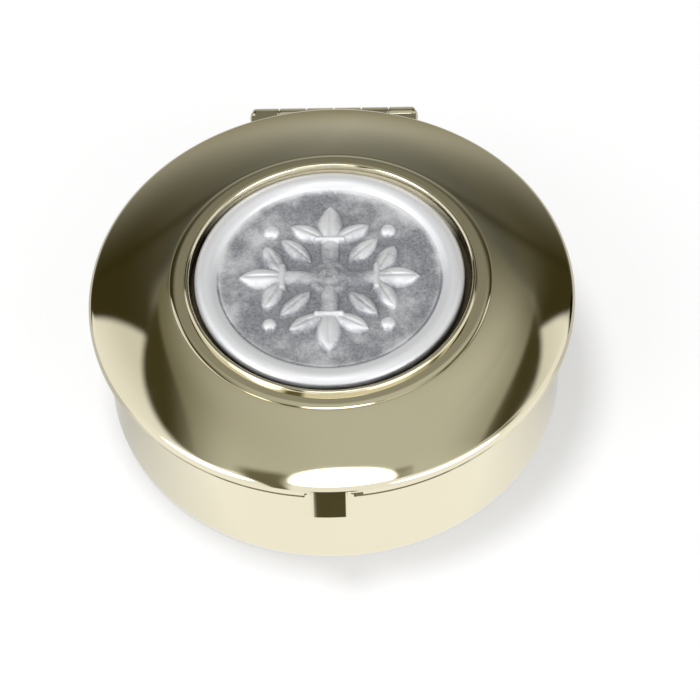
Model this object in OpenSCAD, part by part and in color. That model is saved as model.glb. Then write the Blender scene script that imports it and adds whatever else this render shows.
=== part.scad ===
// Pyx: a small round hinged box of polished plated brass with a pewter medallion on the lid.
// The origin is the middle of the underside, the thumb tab points to -Y and the hinge to +Y.

/* [Cup] */
// Height of the cup, from the table to the top of its turned-out rim
cup_h = 15.75; // [13:0.25:30]
// Thickness of the cup's sheet
cup_t = 0.7; // [0.5:0.05:0.9]
// Outer radius of the bend between floor and wall
cup_bend_r = 1.2; // [1:0.1:3]
// Radius inside the bend where the rim turns out
rim_bend_r = 0.3; // [0.2:0.05:0.5]
// Flat part of the turned-out rim, between its bend and its rounded edge
rim_flat_w = 0.05; // [0.05:0.05:0.5]

/* [Lid] */
// Outer diameter of the lid, over its lip
lid_d = 57; // [50:0.5:75]
// Thickness of the lid's sheet
lid_t = 0.7; // [0.5:0.05:0.85]
// Radius of the rounded shoulder between dome and lip
shoulder_r = 1; // [0.9:0.05:1.6]
// Straight part of the lip, below the shoulder
lip_h = 0.55; // [0.4:0.05:1.2]
// Radius of the arc that the dome is swept from
dome_r = 31; // [28:0.5:50]
// Slope of the dome where it meets the shoulder, in degrees
dome_edge_slope = 22.4; // [17:0.2:26]
// Clearance between the cup's rim and the inside of the lip
rim_gap = 0.25; // [0.15:0.05:0.4]
// Clearance between the cup's rim and the dome that rests over it
seat_gap = 0.16; // [0.1:0.02:0.3]

/* [Thumb tab] */
// Width of the tab
tab_w = 4.2; // [3:0.1:8]
// Length of the tab's flared part
tab_l = 2.9; // [2:0.1:5]
// Angle that the tab flares out by, in degrees
tab_flare = 30; // [10:1:45]
// Radius of the tab's lower corners
tab_corner_r = 0.3; // [0.1:0.05:0.8]
// Width of the relief cut beside the tab, at the lip's edge
relief_w = 0.8; // [0.4:0.05:1.5]

/* [Bezel and pan] */
// Outer diameter of the bezel ring
bezel_d = 37.5; // [35.5:0.5:41]
// Thickness of the bezel ring's flat flange
bezel_t = 0.3; // [0.2:0.05:0.6]
// Radius of the rounded bead around the bezel's bore
bead_r = 0.47; // [0.35:0.01:0.6]
// Height of the bead's centre above the flange's underside
bead_rise = 0.35; // [0.25:0.05:0.6]
// Diameter of the bezel's bore
bezel_bore_d = 32.7; // [30:0.1:33.2]
// Flat land of the lid that shows around the bezel
land_margin = 0.1; // [0.05:0.05:0.5]
// How far the pan's wall stands back behind the bezel's bore
pan_set_back = 0.2; // [0.1:0.05:0.4]
// Depth of the pan pressed into the lid
pan_depth = 1.45; // [1.2:0.05:2]
// Inner radius of the pressed bends at the pan
pan_bend_r = 0.25; // [0.1:0.05:0.4]

/* [Medallion] */
// Clearance between the medallion and the bezel's bore
medallion_gap = 0.4; // [0.1:0.05:0.8]
// Height of the medallion's straight edge
medallion_edge_h = 1.06; // [0.8:0.02:1.6]
// Width of the rounded raised border
border_w = 2.7; // [1.5:0.1:4]
// Height of the border's crest above the medallion's edge
border_h = 0.6; // [0.3:0.05:1]
// How far the field lies below the medallion's edge
dish_depth = 0.25; // [0.1:0.05:0.4]
// Width of the cove between the flat field and the border
cove_w = 1.6; // [0.8:0.1:2.2]
// Height of the cast ornament above the field
relief_h = 0.8; // [0.4:0.05:1.2]
// Thickness of the bond under the medallion
bond_t = 0.15; // [0.05:0.05:0.3]
// How far the bond stays back from the medallion's edge
bond_margin = 0.8; // [0.3:0.1:3]

/* [Ornament] */
// Width of the cross's arms
arm_w = 2.3; // [1.2:0.1:2.6]
// Length of an arm, from the middle to its collar
arm_l = 6; // [4.5:0.1:6.4]
// Width and length of the collar across the end of each arm
collar_size = [4.2, 1];
// Length and width of the leaf at the end of each arm
tip_leaf = [5.6, 3.1];
// Length and width of the two leaves that curl out beside it
side_leaf = [4.6, 2.5];
// Angle that the side leaves turn out by, in degrees
side_leaf_turn = 62; // [45:1:75]
// Length and width of the leaves between the arms
between_leaf = [5, 2.5];
// Distance from the middle to the root of a leaf between the arms
between_leaf_root = 3; // [2.4:0.1:4]
// Radius of the berry beyond each leaf between the arms
berry_r = 0.95; // [0.4:0.05:1]
// Distance from the middle to a berry
berry_reach = 9.7; // [9.2:0.1:10]
// Radius of the boss in the middle
boss_r = 2.6; // [1.6:0.1:2.8]

/* [Hinge] */
// Width of the hinge, over all its knuckles
hinge_w = 20.1; // [14:0.3:24]
// Number of knuckles, shared by turns between lid and cup
knuckles = 6; // [4:2:8]
// Outer radius of a curled knuckle
knuckle_r = 1.2; // [1.1:0.05:1.5]
// Thickness of the hinge leaves' sheet
leaf_t = 0.6; // [0.45:0.05:0.62]
// Diameter of the hinge pin
pin_d = 1; // [0.7:0.05:1.1]
// Radial play of the pin in its knuckles
pin_play = 0.05; // [0.02:0.01:0.08]
// Gap between one knuckle and the next
knuckle_gap = 0.1; // [0.06:0.02:0.2]
// Chamfer on the ends of a knuckle
knuckle_chamfer = 0.18; // [0.05:0.01:0.25]
// Open seam where a knuckle's curl ends against its leaf
seam_gap = 0.12; // [0.06:0.02:0.2]
// Clearance between a knuckle and what swings past it
sweep_gap = 0.12; // [0.08:0.02:0.2]
// Clearance between the lid's leaf and the cup's wall
leaf_wall_gap = 0.2; // [0.12:0.02:0.3]
// Depth of the cup leaf's apron down the wall
apron_h = 4; // [2.5:0.25:6]
// Radius of the apron's lower corners
apron_corner_r = 1.5; // [0.5:0.1:2]
// Radius of the pin's peened heads
pin_head_r = 0.8; // [0.7:0.05:0.95]
// Height of a peened head
pin_head_h = 0.25; // [0.1:0.05:0.4]
// End play of the pin between its heads
pin_end_play = 0.04; // [0.02:0.02:0.1]

/* [Hidden] */

$fn = 96;
cut_over = 1;

// Share of the lid's thickness that each side of the lip's lower edge is rounded by
lip_edge_share = 0.4;
// Share of the bezel's thickness that its outer edge is rounded by
bezel_edge_share = 0.8;
// Share of the shoulder's radius that the tab's relief cuts reach in past the lip
relief_depth_share = 0.25;

plated_brass = "#b8ae88";
polished_pewter = "#c4c5c8";
clear_bond = "#d9d6cc";

// Lid and cup radii, from the lip inwards
lid_r = lid_d / 2;
rim_r = lid_r - lid_t - rim_gap;
rim_edge_r = cup_t / 2;
cup_r = rim_r - rim_edge_r - rim_flat_w - rim_bend_r;

// The dome's arc is placed so that the lid lies over the cup's rim with seat_gap between them
dome_in_r = dome_r - lid_t;
dome_mid_r = lid_r - shoulder_r - (dome_r - shoulder_r) * sin(dome_edge_slope);
rim_edge_mid = [rim_r - rim_edge_r, cup_h - rim_edge_r];
rim_reach = dome_in_r - seat_gap - rim_edge_r;
dome_mid_z = rim_edge_mid[1] - sqrt(pow(rim_reach, 2) - pow(rim_edge_mid[0] - dome_mid_r, 2));
dome_mid = [dome_mid_r, dome_mid_z];
shoulder_z = dome_mid_z + (dome_r - shoulder_r) * cos(dome_edge_slope);
shoulder_mid = [lid_r - shoulder_r, shoulder_z];
lip_z = shoulder_z - lip_h;

// Bezel, pan and medallion, stacked on the flat land in the middle of the dome
bezel_r = bezel_d / 2;
bezel_bore_r = bezel_bore_d / 2;
land_r = bezel_r + land_margin;
land_start = acos((land_r - dome_mid_r) / dome_r);
land_z = dome_mid_z + dome_r * sin(land_start);
land_under_start = acos((land_r - dome_mid_r) / dome_in_r);
land_under_z = dome_mid_z + dome_in_r * sin(land_under_start);
pan_r = bezel_bore_r + pan_set_back;
pan_z = land_z - pan_depth;
medallion_r = bezel_bore_r - medallion_gap;
medallion_z = pan_z + bond_t;
medallion_edge_z = medallion_z + medallion_edge_h;
field_r = medallion_r - border_w;
field_z = medallion_edge_z - dish_depth;

// The hinge axis lies under the lid's edge, with the knuckles' tops level with the lip's cut
hinge_y = lid_r;
hinge_z = shoulder_z - knuckle_r;
knuckle_pitch = hinge_w / knuckles;
knuckle_l = knuckle_pitch - knuckle_gap;
pin_r = pin_d / 2;
pin_bore_r = pin_r + pin_play;
sweep_r = knuckle_r + sweep_gap;

// Straight pieces in each curve of a turned outline
dome_steps = 10;
shoulder_steps = 8;
bend_steps = 5;
border_steps = 10;

// Points along an arc, from one angle to another
function arc(mid, r, from, to, steps) =
    [for (i = [0:steps]) let (a = from + (to - from) * i / steps) mid + r * [cos(a), sin(a)]];

// A leaf outline with two pointed ends, its root at the origin and its tip along +Y
module leaf(size) {
    bow_r = (pow(size[0], 2) + pow(size[1], 2)) / (4 * size[1]);
    bow_x = bow_r - size[1] / 2;
    translate([0, size[0] / 2])
        intersection() {
            translate([bow_x, 0]) circle(r = bow_r);
            translate([-bow_x, 0]) circle(r = bow_r);
        }
}

// Drawn cup with a bent foot edge, a straight wall and a turned-out rim
module box_cup() {
    wall_in_r = cup_r - cup_t;
    foot_in_r = cup_bend_r - cup_t;
    rim_bend_mid = [cup_r + rim_bend_r, cup_h - cup_t - rim_bend_r];
    outline = concat(
        [[0, 0]],
        arc([cup_r - cup_bend_r, cup_bend_r], cup_bend_r, -90, 0, bend_steps),
        arc(rim_bend_mid, rim_bend_r, 180, 90, bend_steps),
        arc(rim_edge_mid, rim_edge_r, -90, 90, shoulder_steps),
        arc(rim_bend_mid, rim_bend_r + cup_t, 90, 180, bend_steps),
        arc([wall_in_r - foot_in_r, cup_bend_r], foot_in_r, 0, -90, bend_steps),
        [[0, cup_t]]
    );
    color(plated_brass)
        difference() {
            rotate_extrude() polygon(outline);
            hinge_sweep(0, knuckles - 1, 1);
            hinge_rim_relief();
        }
}

// The rim is cut back to the wall where the lid's leaf passes it
module hinge_rim_relief() {
    relief_x = hinge_w / 2 + sweep_gap;
    translate([-relief_x, 0, cup_h - cup_t - rim_bend_r])
        linear_extrude(cup_t + rim_bend_r + cut_over)
            difference() {
                square([2 * relief_x, rim_r + cut_over]);
                translate([relief_x, 0]) circle(r = cup_r);
            }
}

// Room for the knuckles numbered first to last, every step-th one, in what they swing past
module hinge_sweep(first, last, step) {
    for (i = [first:step:last])
        translate([(i - knuckles / 2) * knuckle_pitch - sweep_gap, hinge_y, hinge_z])
            rotate([0, 90, 0]) cylinder(r = sweep_r, h = knuckle_pitch + 2 * sweep_gap);
}

// One curled knuckle along X, with chamfered ends
module knuckle(i) {
    start_x = (i - knuckles / 2) * knuckle_pitch + knuckle_gap / 2;
    translate([start_x, hinge_y, hinge_z])
        rotate([0, 90, 0])
            rotate_extrude()
                polygon([
                    [pin_bore_r, 0],
                    [knuckle_r - knuckle_chamfer, 0],
                    [knuckle_r, knuckle_chamfer],
                    [knuckle_r, knuckle_l - knuckle_chamfer],
                    [knuckle_r - knuckle_chamfer, knuckle_l],
                    [pin_bore_r, knuckle_l]
                ]);
}

// The flat of a leaf, from the hinge axis to an arc of radius edge_r about the box's axis
module leaf_flat(edge_r) {
    flat_w = hinge_w - knuckle_gap;
    linear_extrude(leaf_t)
        difference() {
            translate([-flat_w / 2, 0]) square([flat_w, hinge_y]);
            circle(r = edge_r);
        }
}

// The open seam in front of the knuckles, beside the leaf's flat at height z
module curl_seam(z) {
    translate([-hinge_w / 2, hinge_y - knuckle_r - cut_over, z])
        cube([hinge_w, knuckle_r + cut_over, seam_gap]);
}

// Leaf on the cup: a curved apron against the wall, a flat shelf and every second knuckle
module box_hinge_leaf() {
    shelf_z = hinge_z - knuckle_r;
    shelf_top = shelf_z + leaf_t;
    color(plated_brass)
        union() {
            difference() {
                intersection() {
                    translate([0, 0, shelf_top])
                        rotate_extrude()
                            polygon([
                                [cup_r, 0],
                                [cup_r, -apron_h - cut_over],
                                [cup_r + leaf_t, -apron_h - cut_over],
                                [cup_r + leaf_t, -leaf_t],
                                [hinge_y + hinge_w / 2, -leaf_t],
                                [hinge_y + hinge_w / 2, 0]
                            ]);
                    translate([0, hinge_y, shelf_top])
                        rotate([90, 0, 0]) linear_extrude(hinge_y) apron_outline();
                }
                hinge_sweep(0, knuckles - 2, 2);
            }
            difference() {
                for (i = [1:2:knuckles - 1]) knuckle(i);
                curl_seam(shelf_top);
            }
        }
}

// Back view of the cup's leaf, from above its shelf down to its rounded lower corners
module apron_outline() {
    width = hinge_w - knuckle_gap;
    straight_h = apron_h - apron_corner_r;
    translate([-width / 2, -straight_h]) square([width, straight_h + cut_over]);
    translate([apron_corner_r - width / 2, -apron_h])
        square([width - 2 * apron_corner_r, apron_h]);
    for (side = [-1, 1])
        translate([side * (width / 2 - apron_corner_r), -straight_h]) circle(r = apron_corner_r);
}

// Straight pin with a peened head at each end
module hinge_pin() {
    shaft_l = hinge_w - knuckle_gap + 2 * pin_end_play;
    head_bow_r = (pow(pin_head_r, 2) + pow(pin_head_h, 2)) / (2 * pin_head_h);
    head_half = asin(pin_head_r / head_bow_r);
    head_mid_x = shaft_l / 2 + pin_head_h - head_bow_r;
    head = arc([0, head_mid_x], head_bow_r, 90 - head_half, 90, bend_steps);
    outline = concat(
        [for (p = head) [p[0], -p[1]]],
        [[0, 0]],
        [for (i = [len(head) - 1:-1:0]) head[i]],
        [[pin_r, shaft_l / 2], [pin_r, -shaft_l / 2]]
    );
    color(plated_brass)
        translate([0, hinge_y, hinge_z])
            rotate([0, 90, 0])
                rotate_extrude() polygon(outline);
}

// Domed lid, pressed from one sheet with its lip, its pan and its thumb tab
module lid_shell() {
    lip_in_r = lid_r - lid_t;
    lip_edge_r = lip_edge_share * lid_t;
    pan_out_r = pan_r + lid_t;
    bend_out_r = pan_bend_r + lid_t;
    shoulder_start = 90 - dome_edge_slope;
    outline = concat(
        [[0, pan_z]],
        arc([pan_r - pan_bend_r, pan_z + pan_bend_r], pan_bend_r, -90, 0, bend_steps),
        arc([pan_r + pan_bend_r, land_z - pan_bend_r], pan_bend_r, 180, 90, bend_steps),
        arc(dome_mid, dome_r, land_start, shoulder_start, dome_steps),
        arc(shoulder_mid, shoulder_r, shoulder_start, 0, shoulder_steps),
        arc([lid_r - lip_edge_r, lip_z + lip_edge_r], lip_edge_r, 0, -90, bend_steps),
        arc([lip_in_r + lip_edge_r, lip_z + lip_edge_r], lip_edge_r, -90, -180, bend_steps),
        arc(shoulder_mid, shoulder_r - lid_t, 0, shoulder_start, bend_steps),
        arc(dome_mid, dome_in_r, shoulder_start, land_under_start, dome_steps),
        [[pan_out_r, land_under_z]],
        arc([pan_out_r - bend_out_r, pan_z - lid_t + bend_out_r], bend_out_r, 0, -90, bend_steps),
        [[0, pan_z - lid_t]]
    );
    color(plated_brass)
        difference() {
            union() {
                rotate_extrude() polygon(outline);
                thumb_tab();
            }
            tab_reliefs();
            hinge_lip_cut();
            hinge_sweep(1, knuckles - 1, 2);
        }
}

// The lip is cut away across the hinge, level with the top of the lid's leaf
module hinge_lip_cut() {
    cut_w = hinge_w + 2 * sweep_gap;
    translate([-cut_w / 2, 0, lip_z - cut_over])
        cube([cut_w, lid_r + cut_over, lip_h + cut_over]);
}

// The tab flares from the lip, out and down, as a tongue of the lid's own sheet
module thumb_tab() {
    root_angle = tab_flare / 2;
    root_r = shoulder_mid[0] + shoulder_r * cos(root_angle);
    root_z = shoulder_mid[1] + shoulder_r * sin(root_angle);
    translate([0, -root_r, root_z])
        rotate([90 - tab_flare, 0, 0])
            translate([0, 0, -lid_t])
                linear_extrude(lid_t)
                    tab_outline();
}

// The tab laid flat, hanging down from its root, with rounded lower corners
module tab_outline() {
    straight_l = tab_l - tab_corner_r;
    translate([-tab_w / 2, -straight_l]) square([tab_w, straight_l]);
    translate([tab_corner_r - tab_w / 2, -tab_l]) square([tab_w - 2 * tab_corner_r, tab_l]);
    for (side = [-1, 1])
        translate([side * (tab_w / 2 - tab_corner_r), -straight_l]) circle(r = tab_corner_r);
}

// A slanted cut in the lip on each side of the tab lets the press bend it
module tab_reliefs() {
    relief_top = shoulder_z + shoulder_r * sin(tab_flare);
    relief_depth = lid_t + relief_depth_share * shoulder_r;
    for (side = [0, 1])
        mirror([side, 0, 0])
            translate([tab_w / 2, relief_depth - lid_r, lip_z - cut_over])
                rotate([90, 0, 0])
                    linear_extrude(relief_depth + cut_over)
                        polygon([
                            [0, 0],
                            [relief_w, 0],
                            [relief_w, cut_over],
                            [relief_w / 2, relief_top - lip_z + cut_over],
                            [0, relief_top - lip_z + cut_over]
                        ]);
}

// Leaf on the lid: a flat strip under the lip's cut and the other knuckles
module lid_hinge_leaf() {
    flat_z = hinge_z + knuckle_r - leaf_t;
    color(plated_brass)
        union() {
            difference() {
                translate([0, 0, flat_z]) leaf_flat(cup_r + leaf_wall_gap);
                hinge_sweep(1, knuckles - 1, 2);
            }
            difference() {
                for (i = [0:2:knuckles - 2]) knuckle(i);
                curl_seam(flat_z - seam_gap);
            }
        }
}

// Ring with a rounded bead that frames the medallion, soldered on the lid's flat land
module medallion_bezel() {
    bead_mid = [bezel_bore_r + bead_r, land_z + bead_rise];
    flange_top = land_z + bezel_t;
    bead_end = asin((bezel_t - bead_rise) / bead_r);
    edge_r = bezel_edge_share * bezel_t;
    outline = concat(
        [[bezel_bore_r, land_z]],
        arc(bead_mid, bead_r, 180, bead_end, border_steps),
        arc([bezel_r - edge_r, flange_top - edge_r], edge_r, 90, 0, bend_steps),
        [[bezel_r, land_z]]
    );
    color(plated_brass) rotate_extrude() polygon(outline);
}

// Thin layer that bonds the medallion to the pan
module medallion_bond() {
    color(clear_bond)
        translate([0, 0, pan_z]) cylinder(r = medallion_r - bond_margin, h = bond_t);
}

// Cast pewter disc with a rounded border, a coved field and a cross of leaves in relief
module medallion() {
    border_bow_r = (pow(border_w / 2, 2) + pow(border_h, 2)) / (2 * border_h);
    border_half = asin(border_w / 2 / border_bow_r);
    border_mid = [medallion_r - border_w / 2, medallion_edge_z + border_h - border_bow_r];
    cove_bow_r = (pow(cove_w, 2) + pow(dish_depth, 2)) / (2 * dish_depth);
    cove_half = asin(cove_w / cove_bow_r);
    outline = concat(
        [[0, medallion_z], [medallion_r, medallion_z]],
        arc(border_mid, border_bow_r, 90 - border_half, 90 + border_half, border_steps),
        arc([field_r - cove_w, field_z + cove_bow_r], cove_bow_r, cove_half - 90, -90, bend_steps),
        [[0, field_z]]
    );
    color(polished_pewter)
        union() {
            rotate_extrude() polygon(outline);
            translate([0, 0, medallion_z + medallion_edge_h / 2])
                linear_extrude(field_z + relief_h - medallion_z - medallion_edge_h / 2)
                    ornament();
        }
}

// A cross with leaves at the ends of its arms and a leaf and a berry between them
module ornament() {
    circle(r = boss_r);
    for (turn = [0:90:270])
        rotate(turn) {
            translate([-arm_w / 2, 0]) square([arm_w, arm_l]);
            translate([-collar_size[0] / 2, arm_l - collar_size[1]]) square(collar_size);
            translate([0, arm_l - collar_size[1]]) leaf(tip_leaf);
            for (side = [-1, 1])
                translate([-side * arm_w / 4, arm_l - collar_size[1] / 2])
                    rotate(side * side_leaf_turn) leaf(side_leaf);
            rotate(45) {
                translate([0, between_leaf_root]) leaf(between_leaf);
                translate([0, berry_reach]) circle(r = berry_r);
            }
        }
}

box_cup();
box_hinge_leaf();
hinge_pin();
lid_shell();
lid_hinge_leaf();
medallion_bezel();
medallion_bond();
medallion();
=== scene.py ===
import math

import bmesh
import bpy
from mathutils import Matrix, Vector


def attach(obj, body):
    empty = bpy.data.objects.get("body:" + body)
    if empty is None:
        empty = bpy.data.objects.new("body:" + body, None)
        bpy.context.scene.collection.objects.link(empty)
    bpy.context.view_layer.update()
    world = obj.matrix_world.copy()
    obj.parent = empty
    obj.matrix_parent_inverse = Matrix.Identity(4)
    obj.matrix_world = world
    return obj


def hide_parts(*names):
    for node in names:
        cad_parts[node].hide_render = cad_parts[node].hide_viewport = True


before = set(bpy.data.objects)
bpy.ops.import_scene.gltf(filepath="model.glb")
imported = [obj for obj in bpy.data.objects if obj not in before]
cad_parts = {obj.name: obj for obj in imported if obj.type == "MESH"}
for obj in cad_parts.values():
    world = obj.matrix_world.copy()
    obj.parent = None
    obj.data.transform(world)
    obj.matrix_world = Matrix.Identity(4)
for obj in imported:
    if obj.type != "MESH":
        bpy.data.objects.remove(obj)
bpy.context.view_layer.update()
# Named sizes are in millimetres and named angles in degrees
MM = 0.001


# Table and studio
# A polished box shows the room more than itself, so the room is laid out first: a white table,
# white side walls, a warm grey panel overhead and behind, and the dark gaps between them.
TABLE_SIZE, CLOUD = 6000, 111.1
GLOW_LEAN, GLOW_FROM, GLOW_TO = -0.11, -24.5, -6
GLOW_FRONT, GLOW_SIDES = 1.12, 0.66
SOFT_LAMP_AT, SOFT_LAMP_SIZE, SOFT_LAMP_WATTS = (-120, 20, 700), 240, 5.5
CAMERA_UP, CAMERA_RIGHT, CAMERA_ROLL = 53.11, 2.64, -2.85
CAMERA_AT, LENS, SENSOR, CLIP = (1.7, 2.87, 400), 170.1, 36, 10


def linear(code):
    """Linear colour of an sRGB hex value, with alpha."""
    parts = [int(code[i:i + 2], 16) / 255 for i in (1, 3, 5)]
    return [p / 12.92 if p <= 0.04045 else ((p + 0.055) / 1.055) ** 2.4 for p in parts] + [1]


def add_node(tree, kind, settings, links):
    """Adds a node, sets its properties or sockets, and links sockets from other nodes' outputs.

    Sockets without a name of their own go by number. A Mix node's are 0 for its factor, 2 and 3
    for numbers and 6 and 7 for colours, and its colour comes out at 2."""
    made = tree.nodes.new(kind)
    for key, value in settings.items():
        if isinstance(key, str) and hasattr(made, key):
            setattr(made, key, value)
        else:
            made.inputs[key].default_value = value
    for key, source in links.items():
        tree.links.new(source, made.inputs[key])
    return made


# Opal glass light table: matt white with an even glow from below, and the faintest cloud of tone
bpy.ops.object.select_all(action="DESELECT")
bpy.ops.mesh.primitive_grid_add(x_subdivisions=8, y_subdivisions=8, size=TABLE_SIZE * MM)
table = bpy.context.object
table.name = "table_top"
opal = bpy.data.materials.new("opal glass light table")
opal.use_nodes = True
tree = opal.node_tree
gloss = tree.nodes["Principled BSDF"]
where = add_node(tree, "ShaderNodeTexCoord", {}, {})
cloud = add_node(tree, "ShaderNodeTexNoise", {"Scale": 1 / (CLOUD * MM), "Detail": 3},
                 {"Vector": where.outputs["Object"]})
tone = add_node(tree, "ShaderNodeMix", {"data_type": "RGBA", 6: linear("#8c8c8e"), 7: linear("#909091")},
                {0: cloud.outputs["Fac"]})
tree.links.new(tone.outputs[2], gloss.inputs["Base Color"])
gloss.inputs["Emission Color"].default_value = linear("#fcfcfb")
gloss.inputs["Emission Strength"].default_value = 0.49
gloss.inputs["Roughness"].default_value = 0.9
gloss.inputs["Specular IOR Level"].default_value = 0.1
# Painted reflection: in the polished wall the table shows as an even glow, without the box's own soft shadow,
# that falls off from the front to the sides, on the left a little sooner; glossy rays see this painted glow
# instead of the lit table
across = add_node(tree, "ShaderNodeVectorMath", {"operation": "DOT_PRODUCT", 1: (GLOW_LEAN, 1, 0)},
                  {0: where.outputs["Object"]})
fall = add_node(tree, "ShaderNodeMapRange", {"From Min": GLOW_FROM * MM, "From Max": GLOW_TO * MM,
                                             "To Min": GLOW_FRONT, "To Max": GLOW_SIDES},
                {"Value": across.outputs["Value"]})
painted_glow_in_reflections = add_node(tree, "ShaderNodeEmission", {"Color": linear("#fcfcfb")}, {"Strength": fall.outputs[0]})
mirrored = add_node(tree, "ShaderNodeLightPath", {}, {})
lit = add_node(tree, "ShaderNodeMixShader", {}, {0: mirrored.outputs["Is Glossy Ray"], 1: gloss.outputs[0],
                                                 2: painted_glow_in_reflections.outputs[0]})
tree.links.new(lit.outputs[0], tree.nodes["Material Output"].inputs["Surface"])
table.data.materials.append(opal)

# The room is drawn on a chart of the sky: degrees away from straight up, right and to the back
world = bpy.data.worlds.new("studio")
bpy.context.scene.world = world
world.use_nodes = True
tree = world.node_tree
sky = tree.nodes["Background"]
where = add_node(tree, "ShaderNodeTexCoord", {}, {})
split = add_node(tree, "ShaderNodeSeparateXYZ", {}, {0: where.outputs["Generated"]})
off_zenith = add_node(tree, "ShaderNodeMath", {"operation": "ARCCOSINE"}, {0: split.outputs["Z"]})
degrees_off = add_node(tree, "ShaderNodeMath", {"operation": "MULTIPLY", 1: 180 / math.pi},
                       {0: off_zenith.outputs[0]})
level = add_node(tree, "ShaderNodeCombineXYZ", {}, {0: split.outputs["X"], 1: split.outputs["Y"]})
heading = add_node(tree, "ShaderNodeVectorMath", {"operation": "NORMALIZE"}, {0: level.outputs[0]})
chart = add_node(tree, "ShaderNodeVectorMath", {"operation": "SCALE"},
                 {0: heading.outputs[0], "Scale": degrees_off.outputs[0]})
# Each panel: middle and half size, turn, softness of its edges across and along, all in degrees,
# and its colour; the ones with a single softness are oval
panels = [
    # pale room on both sides, greyer towards the middle
    ((3.3, 17.8), (35.7, 47.8), 19.5, (7.4, 18.3), "#dbdad4"),
    # dark room behind, its two nearer corners, and the grey wall that it rises to
    ((0, 90.6), (120, 53.4), -2.9, (1, 3.2), "#151000"),
    ((-43.1, 63.8), (34.2, 26.5), -17.4, (7, 1.2), "#39341c"),
    ((44, 66.4), (32.9, 25.2), 28.8, (5.1, 1.1), "#3b361e"),
    ((0, 115.8), (120, 42.2), -0.5, (10, 27.7), "#cecdc4"),
    ((3.4, 95.3), (0.5, 35.4), -9.1, (28.5, 51), "#e7e7e2"),
    ((0, 112), (120, 34), 0, (10, 10), "#8c8875"),
    # dark frame around the overhead panel, left showing as a strip down each of its sides
    ((1, 14.6), (33.7, 27.9), 11.6, 1.1, "#433e26"),
    # grey panel overhead, in two parts with crisp edges, and the soft light on it
    ((10.3, -0.1), (16.1, 30.7), -0.4, (1, 11.6), "#959384"),
    ((-4.9, 7.4), (19.7, 27.4), -13.4, (0.8, 0.5), "#6c6853"),
    ((-11.4, -9.4), (17.1, 38), -22.1, (7.4, 42.2), "#bfbeb2"),
    ((7.4, 1.1), (15.6, 31.2), 7.6, (8.5, 9.9), "#c1c0b5"),
    ((1.7, 47), (43.2, 0.3), 0.4, (0.5, 2.7), "#332e16"),
    # pale room on the camera's side, a grey boom and shade in it and a dark doorway low down
    ((-11.4, -67.4), (110, 60.1), -7, (1, 1), "#fafaf8"),
    ((-20.5, -39), (4.6, 35.5), -11, (2, 1.5), "#6c6853"),
    ((12.4, -7.7), (1.8, 3.9), 15.6, (0.5, 1), "#6f6b57"),
    ((35.6, -10), (23.4, 5.9), -9.7, (5.9, 6), "#c6c5ba"),
    ((42, -3), (9, 4), -30, (4, 4), "#716e59"),
    ((0, -83), (12, 6), 0, (2, 2), "#4f4a31"),
    # three lamps in front: overhead, left and right
    ((0.6, -8), (9.8, 6), 0, 0.6, "#ffffff"),
    ((-45, -31), (19, 20), -20, 1, "#ffffff"),
    ((46, -42), (26, 15), 25, 1, "#ffffff"),
]
LAMPS, LAMP_STRENGTH = 3, 3.5
colour = add_node(tree, "ShaderNodeRGB", {}, {})
colour.outputs[0].default_value = linear("#f6f6f4")
shade = colour.outputs[0]
for number, (middle, half, turn, soft, code) in enumerate(panels):
    placed = add_node(tree, "ShaderNodeMapping",
                      {"vector_type": "TEXTURE", "Location": (*middle, 0),
                       "Rotation": (0, 0, math.radians(turn))},
                      {"Vector": chart.outputs[0]})
    if isinstance(soft, tuple):
        folded = add_node(tree, "ShaderNodeVectorMath", {"operation": "ABSOLUTE"}, {0: placed.outputs[0]})
        # Sockets 7 and 8 are where a vector's range starts and ends
        cover = add_node(tree, "ShaderNodeMapRange",
                         {"data_type": "FLOAT_VECTOR", "interpolation_type": "SMOOTHSTEP",
                          7: (half[0] + soft[0], half[1] + soft[1], 0),
                          8: (half[0] - soft[0], half[1] - soft[1], 1)},
                         {"Vector": folded.outputs[0]})
        sides = add_node(tree, "ShaderNodeSeparateXYZ", {}, {0: cover.outputs["Vector"]})
        inside = add_node(tree, "ShaderNodeMath", {"operation": "MULTIPLY"},
                          {0: sides.outputs["X"], 1: sides.outputs["Y"]})
    else:
        scaled = add_node(tree, "ShaderNodeVectorMath", {"operation": "DIVIDE", 1: (*half, 1)},
                          {0: placed.outputs[0]})
        out = add_node(tree, "ShaderNodeVectorMath", {"operation": "LENGTH"}, {0: scaled.outputs[0]})
        reach = soft / min(half)
        inside = add_node(tree, "ShaderNodeMapRange",
                          {"interpolation_type": "SMOOTHSTEP", "From Min": 1 + reach, "From Max": 1 - reach},
                          {"Value": out.outputs["Value"]})
    strength = LAMP_STRENGTH if number >= len(panels) - LAMPS else 1
    light = [part * strength for part in linear(code)[:3]] + [1]
    shade = add_node(tree, "ShaderNodeMix", {"data_type": "RGBA", 7: light},
                     {0: inside.outputs[0], 6: shade}).outputs[2]
tree.links.new(shade, sky.inputs["Color"])
sky.inputs["Strength"].default_value = 1.08
# Straight on, the camera sees a plain pale backdrop
backdrop = add_node(tree, "ShaderNodeBackground", {"Color": linear("#f6f6f7"), "Strength": 1.0}, {})
seen = add_node(tree, "ShaderNodeLightPath", {}, {})
both = add_node(tree, "ShaderNodeMixShader", {}, {0: seen.outputs["Is Camera Ray"], 1: sky.outputs[0],
                                                  2: backdrop.outputs[0]})
tree.links.new(both.outputs[0], tree.nodes["World Output"].inputs["Surface"])

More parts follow.
